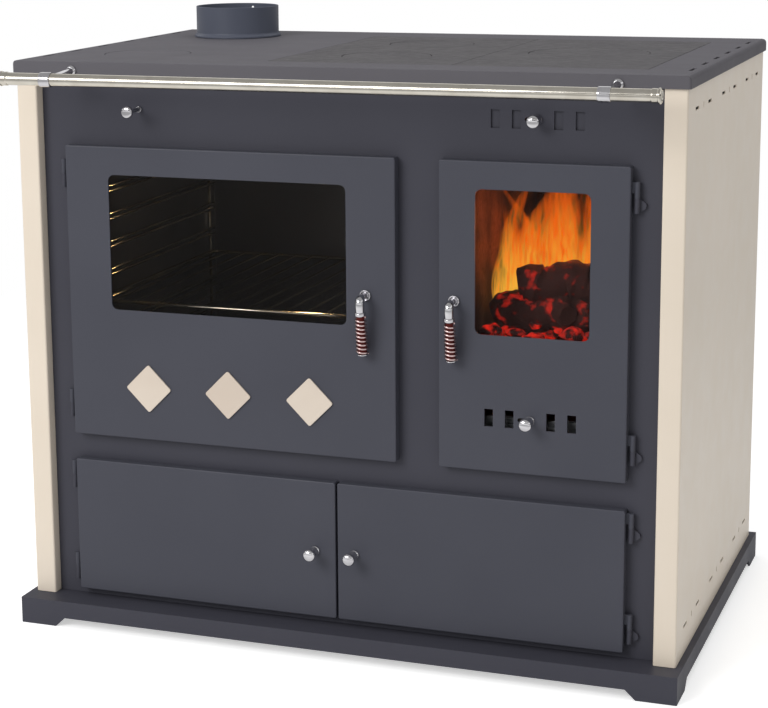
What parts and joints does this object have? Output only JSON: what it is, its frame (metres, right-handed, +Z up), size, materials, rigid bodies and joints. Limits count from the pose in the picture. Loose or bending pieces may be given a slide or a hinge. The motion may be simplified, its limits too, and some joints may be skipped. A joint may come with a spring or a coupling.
{
  "type": "wood cookstove",
  "caption": "Free-standing wood cookstove: oven and firebox side by side over a fuel store, iron hob with lift-off covers, round flue collar at the back, bright rail along the front.",
  "frame": {"origin": "on the floor, under the middle of the whole stove with its rail and plinth", "axes": "+X to the right of someone facing the doors, +Y from the doors to the back, +Z up"},
  "size_m": [1, 0.7237, 0.9],
  "materials": {
    "casing": "satin",
    "doors": "satin",
    "side_enamel": "gloss",
    "diamonds": "gloss",
    "top_paint": "satin",
    "hob_iron": "machined",
    "oven_enamel": "gloss",
    "oven_wire": "bright",
    "fire_steel": "matt",
    "plain_steel": "mill",
    "firebrick": "rough fired clay",
    "bright_fittings": "polished",
    "spring_wire": "polished",
    "window_glass": "clear",
    "rope_seal": "woven glass fibre"
  },
  "bodies": {
    "root": {"plinth": "casing", "side_panel_left": "side_enamel", "side_panel_right": "side_enamel", "inner_side_left": "casing", "inner_side_right": "casing", "back_panel": "casing", "front_panel": "casing", "store_floor": "casing", "deck": "casing", "oven_box": "oven_enamel", "oven_runners_left": "oven_wire", "oven_runners_right": "oven_wire", "oven_rack": "oven_wire", "firebox_shell": "fire_steel", "firebrick_left": "firebrick", "firebrick_right": "firebrick", "firebrick_back": "firebrick", "grate": "hob_iron", "ash_pan": "plain_steel", "top_frame": "top_paint", "hob_ledge": "plain_steel", "inspection_ring": "plain_steel", "flue_collar": "casing", "flue_duct": "plain_steel", "damper_bush": "bright_fittings", "front_rail": "bright_fittings", "rail_bracket_left": "bright_fittings", "rail_bracket_right": "bright_fittings"},
    "oven_door_set": {"oven_door": "doors", "oven_door_glass": "window_glass", "oven_door_glass_frame": "fire_steel", "oven_door_seal": "rope_seal", "oven_door_diamond_left": "diamonds", "oven_door_diamond_middle": "diamonds", "oven_door_diamond_right": "diamonds"},
    "oven_latch": {"oven_handle": "bright_fittings", "oven_grip_coil": "spring_wire"},
    "fire_door_set": {"fire_door": "doors", "fire_door_glass": "window_glass", "fire_door_glass_frame": "fire_steel", "fire_door_seal": "rope_seal"},
    "fire_latch": {"fire_handle": "bright_fittings", "fire_grip_coil": "spring_wire"},
    "primary_air": {"primary_air_slider": "plain_steel", "primary_air_knob": "bright_fittings"},
    "secondary_air": {"secondary_air_slider": "plain_steel", "secondary_air_knob": "bright_fittings"},
    "flue_damper": {"damper_plate": "plain_steel", "damper_rod": "plain_steel", "damper_knob": "bright_fittings"},
    "left_store_door": {"store_door_left": "doors", "store_knob_left": "bright_fittings"},
    "right_store_door": {"store_door_right": "doors", "store_knob_right": "bright_fittings"},
    "middle_hob": {"hob_plate_middle": "hob_iron"},
    "right_hob": {"hob_plate_right": "hob_iron"},
    "front_ring": {"ring_cover_front": "hob_iron"},
    "back_ring": {"ring_cover_back": "hob_iron"},
    "right_ring": {"ring_cover_right": "hob_iron"},
    "oven_inspection": {"inspection_cover": "top_paint"}
  },
  "joints": [
    {"name": "oven_door_swing", "type": "hinge", "parent": "root", "child": "oven_door_set", "pos_m": [-0.424, -0.26, 0.5], "axis": [0, 0, -1], "range_deg": [0, 110]},
    {"name": "oven_handle_turn", "type": "hinge", "parent": "oven_door_set", "child": "oven_latch", "pos_m": [0.045, -0.269, 0.533], "axis": [0, 1, 0], "range_deg": [0, 90]},
    {"name": "fire_door_swing", "type": "hinge", "parent": "root", "child": "fire_door_set", "pos_m": [0.424, -0.26, 0.5], "axis": [0, 0, 1], "range_deg": [0, 110]},
    {"name": "fire_handle_turn", "type": "hinge", "parent": "fire_door_set", "child": "fire_latch", "pos_m": [0.174, -0.269, 0.533], "axis": [0, -1, 0], "range_deg": [0, 90]},
    {"name": "primary_air_slide", "type": "slide", "parent": "fire_door_set", "child": "primary_air", "axis": [-1, 0, 0], "range_m": [0, 0.0146]},
    {"name": "secondary_air_slide", "type": "slide", "parent": "root", "child": "secondary_air", "axis": [-1, 0, 0], "range_m": [0, 0.0146]},
    {"name": "flue_damper_pull", "type": "slide", "parent": "root", "child": "flue_damper", "axis": [0, -1, 0], "range_m": [-0.02, 0.07]},
    {"name": "left_store_door_swing", "type": "hinge", "parent": "root", "child": "left_store_door", "pos_m": [-0.424, -0.26, 0.154], "axis": [0, 0, -1], "range_deg": [0, 110]},
    {"name": "right_store_door_swing", "type": "hinge", "parent": "root", "child": "right_store_door", "pos_m": [0.424, -0.26, 0.154], "axis": [0, 0, 1], "range_deg": [0, 110]},
    {"name": "middle_hob_lift", "type": "slide", "parent": "root", "child": "middle_hob", "axis": [0, 0, 1], "range_m": [0, 0.1]},
    {"name": "right_hob_lift", "type": "slide", "parent": "root", "child": "right_hob", "axis": [0, 0, 1], "range_m": [0, 0.1]},
    {"name": "front_ring_lift", "type": "slide", "parent": "middle_hob", "child": "front_ring", "axis": [0, 0, 1], "range_m": [0, 0.1]},
    {"name": "back_ring_lift", "type": "slide", "parent": "middle_hob", "child": "back_ring", "axis": [0, 0, 1], "range_m": [0, 0.1]},
    {"name": "right_ring_lift", "type": "slide", "parent": "right_hob", "child": "right_ring", "axis": [0, 0, 1], "range_m": [0, 0.1]},
    {"name": "inspection_lift", "type": "slide", "parent": "root", "child": "oven_inspection", "axis": [0, 0, 1], "range_m": [0, 0.1]}
  ]
}
